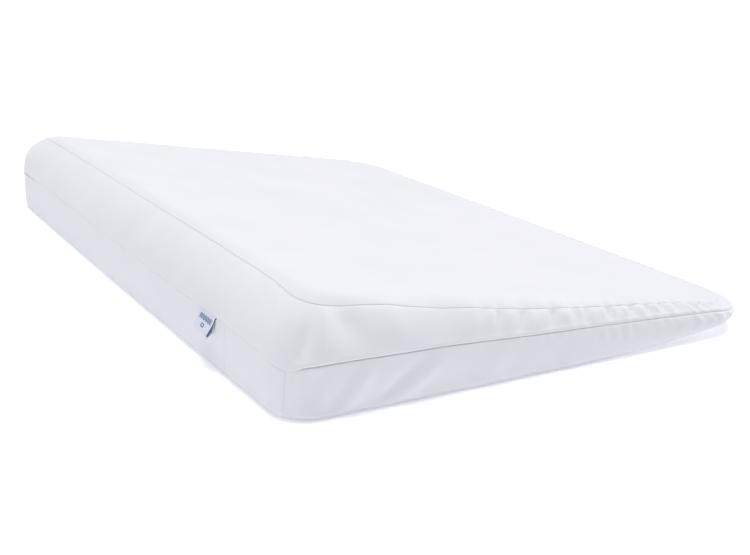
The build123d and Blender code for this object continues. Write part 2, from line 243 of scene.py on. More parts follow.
def add(nodes, links, kind, inputs=(), **settings):
    """New node, with each input set to a value or linked to another node's output."""
    node = nodes.new(kind)
    for setting, choice in settings.items():
        setattr(node, setting, choice)
    for name, given in dict(inputs).items():
        if isinstance(given, bpy.types.NodeSocket):
            links.new(given, node.inputs[name])
        else:
            node.inputs[name].default_value = given
    return node


def object_place(nodes):
    """Coordinates in metres that stay on the piece."""
    return nodes.new("ShaderNodeTexCoord").outputs["Object"]


def mottled(nodes, links, shader, coordinates, light, dark, scale, detail=3.0):
    """Colour that drifts between two close shades."""
    noise = add(nodes, links, "ShaderNodeTexNoise",
                {"Scale": scale, "Detail": detail, "Vector": coordinates})
    ramp = add(nodes, links, "ShaderNodeValToRGB", {"Fac": noise.outputs["Fac"]})
    for element, position, shade in zip(ramp.color_ramp.elements, (0.3, 0.7), (dark, light)):
        element.position, element.color = position, (*shade, 1)
    links.new(ramp.outputs["Color"], shader.inputs["Base Color"])


def bumped(nodes, links, shader, height, distance, strength=1.0):
    """Fine relief, distance metres deep."""
    bump = add(nodes, links, "ShaderNodeBump",
               {"Distance": distance, "Strength": strength, "Height": height})
    links.new(bump.outputs["Normal"], shader.inputs["Normal"])


def foam_finish(name, light, dark, cell):
    """Open-cell foam: pores from a cell pattern, and a slow drift of colour."""
    material, nodes, links, shader = new_finish(name, light, 0.95)
    place = object_place(nodes)
    mottled(nodes, links, shader, place, light, dark, 30)
    pores = add(nodes, links, "ShaderNodeTexVoronoi", {"Scale": 1 / cell, "Vector": place})
    bumped(nodes, links, shader, pores.outputs["Distance"], cell / 2)
    return material


FOAM_INSET = 0.0061         # foam surface below the outside of the cover
MEMORY_LAYER = 0.0180       # thickness of the memory foam
LEAST_FOAM = 0.0003         # foam left where an edge runs out
INSET_GAIN = 60             # an inset is whole from a thickness of 1/60 m
FOAM_GRID = (60, 84)        # cells along the sides and across the ends


def foam_block(name, edge, low_height, high_height):
    """Closed block between two height fields over a plan edge."""
    along, across = FOAM_GRID
    plan = filled_plan(edge, along, across)
    x, y = plan[..., 0], plan[..., 1]
    bottom = low_height(x, y)
    top = np.maximum(high_height(x, y), bottom + LEAST_FOAM)
    count = x.size
    points = np.vstack([np.stack([x, y, top], -1).reshape(-1, 3),
                        np.stack([x, y, bottom], -1).reshape(-1, 3)])
    up = grid_quads(along + 1, across + 1)[:, ::-1]
    rim = rim_of(along, across)
    onward = np.roll(rim, -1)
    side = np.stack([rim + count, onward + count, onward, rim], -1)
    return new_piece(name, points, np.vstack([up, up[:, ::-1] + count, side]))


def held_in(x, y, inset):
    """Inset of a filling, less where the wedge is thin."""
    return np.minimum(inset, INSET_GAIN * inset * (top_surface(x, y) - underside(x)))


def inner_top(x, y, inset):
    """Top of a filling that lies inset below the cover on every side."""
    draw = np.clip((depth_of(x, y) - inset) / roll_reach(x), 0, 1)
    share = upright_share(x, y)
    floor = underside(x)
    return (floor + (top_plane(x) - floor) * (share + (1 - share) * np.sqrt(1 - (1 - draw) ** 2))
            - held_in(x, y, inset))


def foam_under(x, y):
    return underside(x) + held_in(x, y, FOAM_INSET)


def foam_top(x, y):
    return inner_top(x, y, FOAM_INSET)


def bond_line(x, y):
    """Height of the bonded joint between the two foams."""
    bonded = np.minimum(foam_top(x, y), top_plane(x) - MEMORY_LAYER)
    return np.maximum(bonded, foam_under(x, y) + LEAST_FOAM)


foam_u = edge_steps(*FOAM_GRID)
base_edge = np.stack(ring(foam_u, np.full(foam_u.shape, FOAM_INSET)), -1)
outline_x = ring(foam_u, np.zeros(foam_u.shape))[0]
bond_share = 1 - (MEMORY_LAYER - FOAM_INSET) / (top_plane(outline_x) - underside(outline_x))
bond_s = np.clip((bond_share - UPRIGHT) / (1 - UPRIGHT), 0, 0.98)
bond_depth = roll_reach(outline_x) * (1 - np.sqrt(1 - bond_s ** 2)) + FOAM_INSET
memory_edge = np.stack(ring(foam_u, bond_depth), -1)

support_foam = foam_block("support_foam_wedge", base_edge, foam_under, bond_line)
memory_foam = foam_block("memory_foam_sheet", memory_edge, bond_line, foam_top)
for piece, node, slot, finish, fill in (
        (support_foam, "foam_base", "support_foam",
         foam_finish("open cell support foam", (0.83, 0.80, 0.71), (0.78, 0.75, 0.65), 0.0009), 1.0),
        (memory_foam, "memory_foam_layer", "memory_foam",
         foam_finish("memory foam", (0.86, 0.81, 0.60), (0.81, 0.76, 0.54), 0.0006), 0.9)):
    piece.data.materials.append(finish)
    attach(piece, "wedge")
    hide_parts(node)

# ---- inner liner -----------------------------------------------------------------
# A thin white sleeve of knitted jersey, sewn shut round the foam so that the cover
# can come off for washing. It clings to the foam, about 5 mm under the cover's face.
LINER_INSET = 0.0052
LINER_THICKNESS = 0.0005
WAVE_REPEAT = 0.314         # metres between the bands of a wave texture of scale 1


def bands(nodes, links, place, pitch, direction='X', distortion=0.0):
    """Even bands pitch apart, for ribs and threads."""
    wave = add(nodes, links, "ShaderNodeTexWave", {"Scale": WAVE_REPEAT / pitch, "Distortion": distortion,
                                                   "Vector": place}, bands_direction=direction)
    return wave.outputs["Fac"]


liner_edge = np.stack(ring(foam_u, np.full(foam_u.shape, LINER_INSET)), -1)
liner = foam_block("jersey_liner", liner_edge, lambda x, y: underside(x) + held_in(x, y, LINER_INSET),
                   lambda x, y: inner_top(x, y, LINER_INSET))
thickness = liner.modifiers.new("Jersey thickness", 'SOLIDIFY')
thickness.thickness, thickness.offset = LINER_THICKNESS, -1
jersey, nodes, links, shader = new_finish("knitted jersey", (0.86, 0.86, 0.84), 0.9, 0.2)
place = object_place(nodes)
mottled(nodes, links, shader, place, (0.87, 0.87, 0.85), (0.82, 0.82, 0.81), 45)
bumped(nodes, links, shader, bands(nodes, links, place, 0.0012, distortion=0.6), 0.0002)
liner.data.materials.append(jersey)
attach(liner, "wedge")
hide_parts("inner_liner")

# ---- how the cover settles on the foam ----------------------------------------------
# The cover is cut a little small and its seams draw up as they are sewn, so the foam
# pushes the cloth out between them. A coarse cloth of the whole cover is blown up
# against its seams here, and the borders and the top panel take their swell from it.
COARSE = (96, 136)          # cells along the sides and across the ends
COARSE_ROWS = 8             # cells up each border
MOST_SWELL = 0.0028         # furthest the cloth may move from the foam's shape
SEAM_DRAWN_UP = 0.020       # how much the seam lines shorten
CLOTH_EASE = 0.010          # spare cloth between the seams
FOAM_HOLD = 0.35            # how firmly the foam keeps the cloth in its shape
CLOTH_PRESSURE, CLOTH_FRAMES = 2, 20
SIDE_SOFTENING = 2          # passes that take out creases finer than the cloth's own bend
FLAT_SOFTENING = 14         # the same on the top panel, which is stretched flat
BOTTOM_SEAM_UP = 0.003      # how far up the wall the bottom seam runs
NOSE_SHARE = 0.35           # most of the upright height that it may take at the thin nose

TOP_SEAM = ((0.0, 0.900), (0.11, 0.892), (0.25, 0.865), (0.48, 0.842), (0.66, 0.885), (0.83, 0.965),
            (1.0, 0.975), (1.5, 0.975), (2.0, 0.975), (2.17, 0.965), (2.34, 0.885), (2.52, 0.842),
            (2.75, 0.865), (2.89, 0.892), (3.0, 0.905), (3.1, 0.935), (3.5, 0.942), (3.9, 0.935))
MIDDLE_SEAM = ((0.0224, 0.0414), (0.0668, 0.0421), (0.196, 0.0406), (0.285, 0.0395), (0.432, 0.0358),
               (0.595, 0.0323), (0.752, 0.0286), (0.833, 0.0264), (0.909, 0.0243), (0.962, 0.0216),
               (1.0, 0.0204), (1.06, 0.0193), (1.5, 0.0190), (1.94, 0.0193), (2.0, 0.0203),
               (2.093, 0.0213), (2.307, 0.0264), (2.521, 0.0314), (2.735, 0.0365), (2.949, 0.0415),
               (3.0, 0.0427), (3.08, 0.0430), (3.5, 0.0426), (3.90, 0.0425), (3.95, 0.0420),
               (3.9918, 0.0378))


def round_curve(u, knots):
    """Smooth closed curve through (u, value) knots, for u from 0 to 4 and round again."""
    at, value = np.array(knots).T
    at = np.concatenate([at[-2:] - 4, at, at[:3] + 4])
    value = np.concatenate([value[-2:], value, value[:3]])
    slope = np.empty_like(value)
    slope[1:-1] = (value[2:] - value[:-2]) / (at[2:] - at[:-2])
    slope[0], slope[-1] = slope[1], slope[-2]
    u = np.mod(u, 4)
    k = np.clip(np.searchsorted(at, u, side="right") - 1, 0, len(at) - 2)
    gap = at[k + 1] - at[k]
    t = (u - at[k]) / gap
    return ((2 * t**3 - 3 * t**2 + 1) * value[k] + (t**3 - 2 * t**2 + t) * gap * slope[k]
            + (3 * t**2 - 2 * t**3) * value[k + 1] + (t**3 - t**2) * gap * slope[k + 1])


def s_of_height(u, z):
    """Which s on the side lies at height z."""
    x, y = ring(u, np.zeros(np.shape(u)))
    for _ in range(3):
        floor = underside(x)
        share = upright_share(x, y)
        part = (z - floor) / (top_plane(x) - floor)
        s = np.where(part > share, (part - share) / (1 - share), part / share - 1)
        x, y, _ = np.moveaxis(wall(u, np.clip(s, -1, 1)), -1, 0)
    return np.clip(s, -0.99, 0.99)


def top_seam_s(u):
    return round_curve(u, TOP_SEAM)


def middle_seam_s(u):
    return s_of_height(u, round_curve(u, MIDDLE_SEAM))


def bottom_seam_s(u):
    """The bottom seam runs a little way up the wall, less where the nose is thin."""
    x, y = ring(u, np.zeros(np.shape(u)))
    upright = upright_share(x, y) * (top_plane(x) - underside(x))
    return -1 + np.minimum(BOTTOM_SEAM_UP / upright, NOSE_SHARE)


def strip_points(u, rows, low_s, high_s):
    """Rows of points up the side between two values of s, evenly apart along the cloth."""
    fine = low_s + (high_s - low_s) * np.linspace(0, 1, 65)[:, None]
    path = wall(u, fine)
    length = np.concatenate([np.zeros((1, len(u))),
                             np.cumsum(np.linalg.norm(np.diff(path, axis=0), axis=-1), 0)])
    s = np.stack([np.interp(rows * length[-1, k], length[:, k], fine[:, k]) for k in range(len(u))], 1)
    return wall(u, s), rows[:, None] * length[-1]


def swell_of_cover():
    """Settled cloth: how far it moves from the foam's shape, on both borders and the top."""
    along, across = COARSE
    u = edge_steps(along, across)
    columns = len(u)
    step = np.linspace(0, 1, COARSE_ROWS + 1)
    lower, _ = strip_points(u, step, bottom_seam_s(u), middle_seam_s(u))
    upper, _ = strip_points(u, step, middle_seam_s(u), top_seam_s(u))
    side = np.concatenate([lower, upper[1:]])
    plans = [filled_plan(side[k, :, :2], along, across) for k in (-1, 0)]
    top = np.dstack([plans[0], top_surface(plans[0][..., 0], plans[0][..., 1])])
    bottom = np.dstack([plans[1], underside(plans[1][..., 0])])
    rim = rim_of(along, across)
    points = [side.reshape(-1, 3)]
    quads = [grid_quads(len(side), columns, closed=True)]
    numbers = []
    for grid, row, turn in ((top, len(side) - 1, -1), (bottom, 0, 1)):
        number = np.full(grid[..., 0].size, -1)
        number[rim] = row * columns + np.arange(columns)
        inside = number < 0
        number[inside] = sum(map(len, points)) + np.arange(inside.sum())
        points.append(grid.reshape(-1, 3)[inside])
        quads.append(number[grid_quads(along + 1, across + 1)][:, ::turn])
        numbers.append(number)
    rest = np.vstack(points)
    quads = np.vstack(quads)
    cover = new_piece("settling_cover", rest, quads)
    held = cover.vertex_groups.new(name="held by the foam")
    held.add(list(range(len(rest))), FOAM_HOLD, 'REPLACE')
    seams = cover.vertex_groups.new(name="sewn seams")
    rows = [0, COARSE_ROWS, 2 * COARSE_ROWS]
    seams.add([r * columns + c for r in rows for c in range(columns)], 1.0, 'REPLACE')
    cloth = cover.modifiers.new("Cover cloth", 'CLOTH')
    cloth.settings.quality = 5
    cloth.settings.mass = 0.12
    cloth.settings.tension_stiffness = cloth.settings.compression_stiffness = 25
    cloth.settings.shear_stiffness = 12
    cloth.settings.bending_stiffness = 0.05
    cloth.settings.use_pressure = True
    cloth.settings.uniform_pressure_force = CLOTH_PRESSURE
    cloth.settings.vertex_group_mass = held.name
    cloth.settings.pin_stiffness = 1.0
    cloth.settings.vertex_group_shrink = seams.name
    cloth.settings.shrink_min, cloth.settings.shrink_max = -CLOTH_EASE, SEAM_DRAWN_UP
    cloth.settings.effector_weights.gravity = 0
    cloth.point_cache.frame_start, cloth.point_cache.frame_end = 1, CLOTH_FRAMES
    for frame_number in range(1, CLOTH_FRAMES + 1):
        bpy.context.scene.frame_set(frame_number)
    settled = cover.evaluated_get(bpy.context.evaluated_depsgraph_get()).to_mesh()
    now = np.empty(len(rest) * 3, np.float32)
    settled.vertices.foreach_get("co", now)
    normal = np.empty(len(rest) * 3, np.float32)
    cover.data.vertices.foreach_get("normal", normal)
    bpy.context.scene.frame_set(1)
    bpy.data.objects.remove(cover)
    out = np.einsum("ij,ij->i", now.reshape(-1, 3) - rest, normal.reshape(-1, 3))
    out = MOST_SWELL * np.tanh(out / MOST_SWELL)
    sides = out[:len(side) * columns].reshape(len(side), columns)
    for _ in range(SIDE_SOFTENING):
        sides = (2 * sides + np.roll(sides, 1, 1) + np.roll(sides, -1, 1)) / 4
        sides[1:-1] = (2 * sides[1:-1] + sides[:-2] + sides[2:]) / 4
    flat = out[numbers[0]].reshape(along + 1, across + 1)      # only the top: the bottom lies flat
    for _ in range(FLAT_SOFTENING):
        flat[1:-1, 1:-1] = (flat[:-2, 1:-1] + flat[2:, 1:-1] + flat[1:-1, :-2] + flat[1:-1, 2:]) / 4
    return sides[:COARSE_ROWS + 1], sides[COARSE_ROWS:], flat


def sampled(field, row, column, closed=False):
    """Smooth reading of a coarse field between its rows and columns."""
    def weights(t):
        return [((-t + 2) * t - 1) * t / 2, ((3 * t - 5) * t * t + 2) / 2,
                ((-3 * t + 4) * t + 1) * t / 2, (t - 1) * t * t / 2]
    r, c = np.floor(row).astype(int), np.floor(column).astype(int)
    total = 0
    for i, wr in enumerate(weights(row - r)):
        for j, wc in enumerate(weights(column - c)):
            at_row = np.clip(r + i - 1, 0, field.shape[0] - 1)
            at_column = c + j - 1
            if closed:
                at_column = at_column % field.shape[1]
            at_column = np.clip(at_column, 0, field.shape[1] - 1)
            total = total + wr * wc * field[at_row, at_column]
    return total


def coarse_column(u):
    """Column of the coarse cloth at u."""
    u = np.mod(u, 4)
    return np.interp(u, [0, 1, 2, 3, 4], np.cumsum([0, COARSE[0], COARSE[1], COARSE[0], COARSE[1]]))


lower_swell, upper_swell, top_swell = swell_of_cover()

# ---- cover panels --------------------------------------------------------------------
# The cover is white brushed polyester, closely woven and soft to the hand. It has a top
# panel, a bottom panel and a border round the sides, which the zip splits into an upper
# and a lower strip. The strips are eased on to the panels, so they pucker at the seams.
CLOTH_THICKNESS = 0.0008
BORDER_COLUMNS, BORDER_ROWS = 1860, 23
EDGE_CROWD = 0.72                       # how closely a border's rows crowd to its seams
ZIP_FIRST, ZIP_LAST = 0.0, 3.0988       # u of the zip's two ends
INSERT_FIRST = 3.864                    # u of the upright seam in the tall wall
INSERT_LAST = 3.9918                    # u of the seam down the near tall corner
SLIT_HALF = 0.0007                      # half the gap between the tapes on the far side
CLOSED_HALF = 0.00005                   # the same where the cloth closes over the zip
SEAM_DIP, SEAM_WIDTH = 0.00025, 0.0009  # groove of a seam
STITCH_PITCH = 0.0048
FOLD_GAIN, DENT_GAIN = 3.0, 1.9         # strength of all gathers, and of all dents
FOLD_SPREAD = 0.7                       # how much a gather widens over its reach
FOLD_ENDS = 0.05                        # furthest from a gather that it is worked out
SEWN_FLAT, SEWN_BAND = 0.6, 0.003       # how much a seam flattens its gathers, and how far in

outline_u = np.linspace(0, 4, 4001)
outline_points = np.stack(ring(outline_u, np.zeros(4001)), -1)
outline_run = np.concatenate([[0], np.cumsum(np.linalg.norm(np.diff(outline_points, axis=0), axis=1))])
ROUND = outline_run[-1]                 # length once round the outline


def run_of(u):
    """Distance round the outline from the near tall corner."""
    u = np.asarray(u, float)
    return np.interp(np.mod(u, 4), outline_u, outline_run) + ROUND * np.floor(u / 4)


def near_run(x):
    """Distance round the outline to a place on the near side, x from the tall wall."""
    return x + CORNERS[0] * (math.pi / 4 - 1)


def normals_of(points, closed=False):
    """Outward normals of rows of points; u runs along a row and the rows go up."""
    if closed:
        points = np.concatenate([points[:, -1:], points, points[:, :1]], 1)
    normal = np.cross(np.gradient(points, axis=1), np.gradient(points, axis=0))
    normal /= np.linalg.norm(normal, axis=-1, keepdims=True) + 1e-12
    return normal[:, 1:-1] if closed else normal


def folds(run, away, places):
    """Gathers off a seam, each (run, depth, half width, reach, slant): a crease between two ridges."""
    total = np.zeros(np.broadcast(run, away).shape)
    for place, depth, half, reach, slant in places:
        off = np.mod(run - place - slant * away + ROUND / 2, ROUND) - ROUND / 2
        near = np.abs(off).min(axis=0) < FOLD_ENDS
        q = off[:, near] / (half * (1 + FOLD_SPREAD * away[:, near] / reach))
        sewn = 1 - SEWN_FLAT * np.exp(-(away[:, near] / SEWN_BAND) ** 2)
        fade = np.exp(-(away[:, near] / reach) ** 2) * sewn
        total[:, near] -= FOLD_GAIN * depth * (1 - q * q) * np.exp(-q * q / 2) * fade
    return total


def dents(run, up, places):
    """Soft hollows, each (run, up, half length, half height, depth, slant); a ridge has depth below 0."""
    total = np.zeros(np.broadcast(run, up).shape)
    for place, height, half, tall, depth, slant in places:
        off = np.mod(run - place - slant * (up - height) + ROUND / 2, ROUND) - ROUND / 2
        total -= DENT_GAIN * depth * np.exp(-(off / half) ** 2 - ((up - height) / tall) ** 2)
    return total


def ripple(run, up, seed, waves, size, long, tall):
    """Uneven stuffing and cloth: a sum of slow waves, the same each time for a seed."""
    draw = np.random.default_rng(seed)
    total = 0
    for _ in range(waves):
        turns = max(1, round(ROUND / (long * draw.uniform(0.6, 1.8))))
        rise = draw.uniform(-1, 1) / tall
        total = total + draw.uniform(0.5, 1) * np.sin(
            2 * math.pi * (turns * run / ROUND + rise * up + draw.uniform()))
    return size * total / math.sqrt(waves)


def gathers_along(first, last, seed, gap, depth, half, reach):
    """Gathers at uneven places along a seam."""
    draw = np.random.default_rng(seed)
    places, at = [], first + gap * draw.uniform(0.3, 1)
    while at < last:
        places.append((at, depth * draw.uniform(0.45, 1.25), half * draw.uniform(0.7, 1.3),
                       reach * draw.uniform(0.6, 1.3), draw.uniform(-0.35, 0.35)))
        at += gap * draw.uniform(0.55, 1.5)
    return places


def seam_dip(away, depth=SEAM_DIP, width=SEAM_WIDTH):
    """Cloth drawn in at a seam: a narrow groove with a soft shoulder."""
    return -depth * np.exp(-away / width) - 0.5 * depth * np.exp(-(away / (4 * width)) ** 2)


def needle_marks(run, away, size=0.00016, width=0.0022):
    """Small puckers between the stitches of a seam."""
    pulled = 0.5 + 0.5 * np.cos(2 * math.pi * run / STITCH_PITCH)
    return -size * pulled * np.exp(-(away / width) ** 2)


def zip_share(u):
    """1 where the zip is, 0 on the rest of the middle seam."""
    u = np.mod(u, 4)
    return np.clip((u - ZIP_FIRST) / 0.02, 0, 1) * np.clip((ZIP_LAST - u) / 0.03, 0, 1)


def on_far_side(u):
    """1 on the straight far side, where the slider runs, and 0 elsewhere."""
    u = np.mod(u, 4)
    return np.clip((u - 2.02) / 0.05, 0, 1) * np.clip((2.97 - u) / 0.03, 0, 1)


def on_tall_wall(u):
    """1 along the tall wall, where the cloth is stretched flat, and 0 elsewhere."""
    u = np.mod(u, 4)
    return np.clip((u - 3.03) / 0.06, 0, 1) * np.clip((3.97 - u) / 0.06, 0, 1)


def slit_half(u):
    """Half the gap between the two turned-in edges."""
    return CLOSED_HALF + (SLIT_HALF - CLOSED_HALF) * on_far_side(u)


far_run, tall_run = run_of(2.0), run_of(3.0)
UPPER_LEAN = 0.35                       # the upper gathers all lean towards the tall wall
upper_gathers = [(near_run(x), depth, half, reach, slant - UPPER_LEAN) for x, depth, half, reach, slant in (
    (0.173, 0.00045, 0.0050, 0.022, 0.10), (0.189, 0.00055, 0.0045, 0.026, 0.05),
    (0.214, 0.00065, 0.0055, 0.030, -0.05), (0.246, 0.00080, 0.0055, 0.030, 0.00),
    (0.270, 0.00060, 0.0045, 0.024, 0.10), (0.282, 0.00060, 0.0040, 0.020, -0.10),
    (0.309, 0.00085, 0.0050, 0.026, 0.05), (0.321, 0.00050, 0.0035, 0.018, 0.00),
    (0.337, 0.00080, 0.0045, 0.022, -0.10), (0.357, 0.00085, 0.0045, 0.022, 0.10),
    (0.375, 0.00075, 0.0040, 0.020, 0.00), (0.396, 0.00080, 0.0040, 0.018, -0.15),
    (0.415, 0.00070, 0.0035, 0.016, 0.10), (0.428, 0.00065, 0.0032, 0.014, 0.00),
    (0.439, 0.00065, 0.0030, 0.012, 0.10), (0.449, 0.00060, 0.0030, 0.011, 0.00))]
upper_gathers += gathers_along(near_run(0.455), far_run - 0.01, 11, 0.0150, 0.00035, 0.0034, 0.009)
upper_gathers += gathers_along(far_run, far_run + 0.33, 12, 0.0180, 0.00035, 0.0044, 0.019)
upper_gathers += gathers_along(far_run + 0.33, tall_run + 0.03, 13, 0.0300, 0.00045, 0.0055, 0.024)
upper_gathers += gathers_along(tall_run + 0.05, ROUND - 0.03, 14, 0.0480, 0.00022, 0.0070, 0.022)
upper_dents = [(near_run(0.013), 0.016, 0.0060, 0.016, 0.0008, 0.0),
               (near_run(0.049), 0.028, 0.014, 0.018, 0.0022, -0.5),
               (near_run(0.086), 0.028, 0.012, 0.020, -0.0010, -0.3),
               (near_run(0.012), 0.022, 0.012, 0.020, 0.0009, 0.2),
               (near_run(0.130), 0.020, 0.016, 0.020, 0.0008, 0.3),
               (near_run(0.165), 0.022, 0.012, 0.022, -0.0006, 0.0)]
zip_gathers = gathers_along(near_run(0.20), far_run, 21, 0.0130, 0.00026, 0.0030, 0.006)
zip_gathers += gathers_along(far_run, tall_run, 22, 0.0200, 0.00022, 0.0035, 0.008)
lower_gathers = [(near_run(x), depth, half, reach, slant) for x, depth, half, reach, slant in (
    (0.289, 0.00045, 0.0035, 0.012, 0.0), (0.301, 0.00055, 0.0032, 0.014, 0.1),
    (0.316, 0.00060, 0.0032, 0.015, 0.0), (0.329, 0.00045, 0.0030, 0.012, -0.1),
    (0.353, 0.00050, 0.0032, 0.012, 0.1), (0.381, 0.00040, 0.0032, 0.010, 0.0),
    (0.405, 0.00050, 0.0034, 0.010, 0.0), (0.420, 0.00080, 0.0036, 0.012, 0.1),
    (0.434, 0.00090, 0.0036, 0.012, 0.0), (0.447, 0.00080, 0.0034, 0.010, -0.1))]
lower_gathers += gathers_along(near_run(0.455), far_run, 31, 0.0150, 0.00045, 0.0034, 0.007)
lower_gathers += gathers_along(far_run, far_run + 0.25, 32, 0.0200, 0.00045, 0.0038, 0.011)
lower_dents = [(near_run(0.022), 0.022, 0.0060, 0.018, 0.0009, 0.2),
               (near_run(0.058), 0.018, 0.0085, 0.022, -0.0011, 0.55),
               (near_run(0.044), 0.016, 0.0080, 0.022, 0.0008, 0.55),
               (near_run(0.112), 0.016, 0.0100, 0.024, -0.0009, 1.30),
               (near_run(0.094), 0.018, 0.0100, 0.022, 0.0009, 1.30),
               (near_run(0.160), 0.016, 0.0110, 0.020, 0.0006, 0.1),
               (near_run(0.182), 0.016, 0.0090, 0.020, -0.0006, 0.1),
               (near_run(0.203), 0.014, 0.0090, 0.018, 0.0005, 0.0),
               (near_run(0.245), 0.012, 0.0110, 0.016, 0.0005, 0.2)]

brushed, nodes, links, shader = new_finish("brushed white cover cloth", (0.84, 0.84, 0.87), 0.92, 0.25)
weave_place = nodes.new("ShaderNodeUVMap").outputs["UV"]
mottled(nodes, links, shader, object_place(nodes),
        (0.850, 0.850, 0.880), (0.825, 0.827, 0.862), 14, 5)
crossing = add(nodes, links, "ShaderNodeMath", {0: bands(nodes, links, weave_place, 0.00055),
                                                1: bands(nodes, links, weave_place, 0.00062, 'Y')},
               operation='MULTIPLY')
nap = add(nodes, links, "ShaderNodeTexNoise", {"Scale": 900, "Detail": 4, "Vector": weave_place})
pile = add(nodes, links, "ShaderNodeMath", {0: nap.outputs["Fac"], 1: 0.6, 2: crossing.outputs["Value"]},
           operation='MULTIPLY_ADD')
bumped(nodes, links, shader, pile.outputs["Value"], 0.00007, 0.7)


def finished_cloth(piece, node, finish=brushed, thickness=CLOTH_THICKNESS):
    """Thickness, finish and the frame's calls of a sheet of cloth."""
    wall_of_cloth = piece.modifiers.new("Cloth thickness", 'SOLIDIFY')
    wall_of_cloth.thickness, wall_of_cloth.offset = thickness, -1
    piece.data.materials.append(finish)
    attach(piece, "wedge")
    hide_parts(node)


def border_uv(quads, columns, across, up, closed):
    """Place in metres of each quad corner on a strip, kept whole where the strip closes."""
    column, row = quads % columns, quads // columns
    u = across[row, column]
    if closed:
        u = u + ROUND * ((column == 0) & (column.max(axis=1, keepdims=True) == columns - 1))
    return np.stack([u, up[row, column]], -1)


SEAM_BAND = 0.007           # band where the cloths on both sides of a seam share one line
SEAM_SWELL = 0.4            # share of the swell that the middle seam lets through
WALL_CALM = 0.65            # share of the swell that the stretched tall wall loses
CALM_BELOW = 0.030          # a border narrower than this swells less
PANEL_EASE = 0.010          # band of the lower border that settles to the bottom seam
TAPE_STOP = 0.0006          # deepest dent over the zip tape on the far side
TAPE_STOP_OFF = 0.0012      # how much deeper it may go elsewhere, where the tape is sunk
TAPE_EDGE, PAST_TAPE = 0.008, 0.3       # where the tape ends, and how fast dents may deepen past it
SOFT_STOP = 0.0002          # how gently a dent stops against the zip tape
SLIDER_ROOM = 0.0095        # band beside the zip kept flat on the far side, for the slider
LIP_UP, LIP_AWAY, LIP_WIDTH = 0.00055, 0.0026, 0.0017    # ridge of the turned cloth by the zip
LOWER_LIP = 0.3             # the lower border's ridge, as a share of the upper's
TURN_IN, TURN_WIDTH = 0.0006, 0.00055   # how far the cloth's edge turns in to the zip
SLIT_BAND = 0.004           # band that draws back from the gap between the tapes
rims = {}                   # outer edge of each border, for the panel sewn to it


def border(name, u, closed, upper):
    """One border strip between the zip or middle seam and the top or bottom seam."""
    rows = spaced(BORDER_ROWS, EDGE_CROWD)
    if upper:
        points, up = strip_points(u, rows, middle_seam_s(u), top_seam_s(u))
        to_zip, to_panel, field = up, up[-1] - up, upper_swell
    else:
        points, up = strip_points(u, rows, bottom_seam_s(u), middle_seam_s(u))
        to_zip, to_panel, field = up[-1] - up, up, lower_swell
    normal = normals_of(points, closed)
    run = run_of(u)[None] + 0 * up
    zipped, slider_run = zip_share(u)[None], on_far_side(u)[None]
    column = coarse_column(u)[None]
    calm = np.clip(up[-1] / CALM_BELOW, 0.25, 1)
    out = sampled(field, rows[:, None] * COARSE_ROWS + 0 * up, column + 0 * up, True)
    out = out * calm * (1 - WALL_CALM * on_tall_wall(u))
    if upper:
        out += folds(run, to_panel, upper_gathers) + dents(run, up, upper_dents)
        out += ripple(run, up, 5, 14, 0.00028, 0.045, 0.10) * calm
    else:
        out += folds(run, to_zip, lower_gathers) + dents(run, up, lower_dents)
        out *= np.clip(to_panel / PANEL_EASE, 0.15, 1)
        out += ripple(run, up, 6, 14, 0.00026, 0.050, 0.12) * calm
    middle_row = np.zeros_like(column) if upper else np.full_like(column, COARSE_ROWS)
    shared = SEAM_SWELL * sampled(field, middle_row, column, True)
    shared = shared + ripple(run[:1], 0 * column, 7, 12, 0.0002, 0.06, 1)
    at_seam = np.exp(-(to_zip / SEAM_BAND) ** 2)
    out = out * (1 - at_seam) + shared * at_seam + folds(run, to_zip, zip_gathers)
    out = out * (1 - slider_run * np.exp(-(to_zip / SLIDER_ROOM) ** 4))
    least = -TAPE_STOP - TAPE_STOP_OFF * (1 - slider_run)
    least = least - PAST_TAPE * np.maximum(to_zip - TAPE_EDGE, 0)
    out = np.where(zipped > 0.5, least + SOFT_STOP * np.logaddexp(0, (out - least) / SOFT_STOP), out)
    out += seam_dip(to_panel) + needle_marks(run, to_panel)
    plain = seam_dip(to_zip, 0.00016, 0.0008) + needle_marks(run, to_zip, 0.00005)
    lip = LIP_UP * np.exp(-((to_zip - LIP_AWAY) / LIP_WIDTH) ** 2) * (1 if upper else LOWER_LIP)
    lip = lip * (1 - slider_run)
    turned_in = -TURN_IN * np.exp(-(to_zip / TURN_WIDTH) ** 1.5)
    out += zipped * (lip + turned_in) + (1 - zipped) * plain
    quads = grid_quads(len(rows), len(u), closed)
    away_from_slit = (1 if upper else -1) * slit_half(u) * zipped * np.exp(-(to_zip / SLIT_BAND) ** 2)
    points = points + normal * out[..., None]
    points[..., 2] += away_from_slit
    rims[name] = (u, points[-1 if upper else 0])
    return new_piece(name, points, quads, border_uv(quads, len(u), run, up, closed))


def capped(rows, middle, cells, turn):
    """Points and quads of closed rows whose last row is the rim of a filled grid."""
    count = rows.shape[1]
    number = np.full(middle[..., 0].size, -1)
    number[rim_of(*cells)] = (len(rows) - 1) * count + np.arange(count)
    inside = number < 0
    number[inside] = rows[..., 0].size + np.arange(inside.sum())
    points = np.vstack([rows.reshape(-1, 3), middle.reshape(-1, 3)[inside]])
    band = grid_quads(len(rows), count, closed=True)
    cap = number[grid_quads(cells[0] + 1, cells[1] + 1)][:, ::-1]
    return points, np.vstack([band, cap])[:, ::turn]


def plan_swell(field, x, y):
    """Swell of a panel over plan points."""
    a, b = (x - TALL_X) / LENGTH, (y - NEAR_Y) / WIDTH
    return sampled(field, np.clip(a, 0, 1) * COARSE[0], np.clip(b, 0, 1) * COARSE[1])


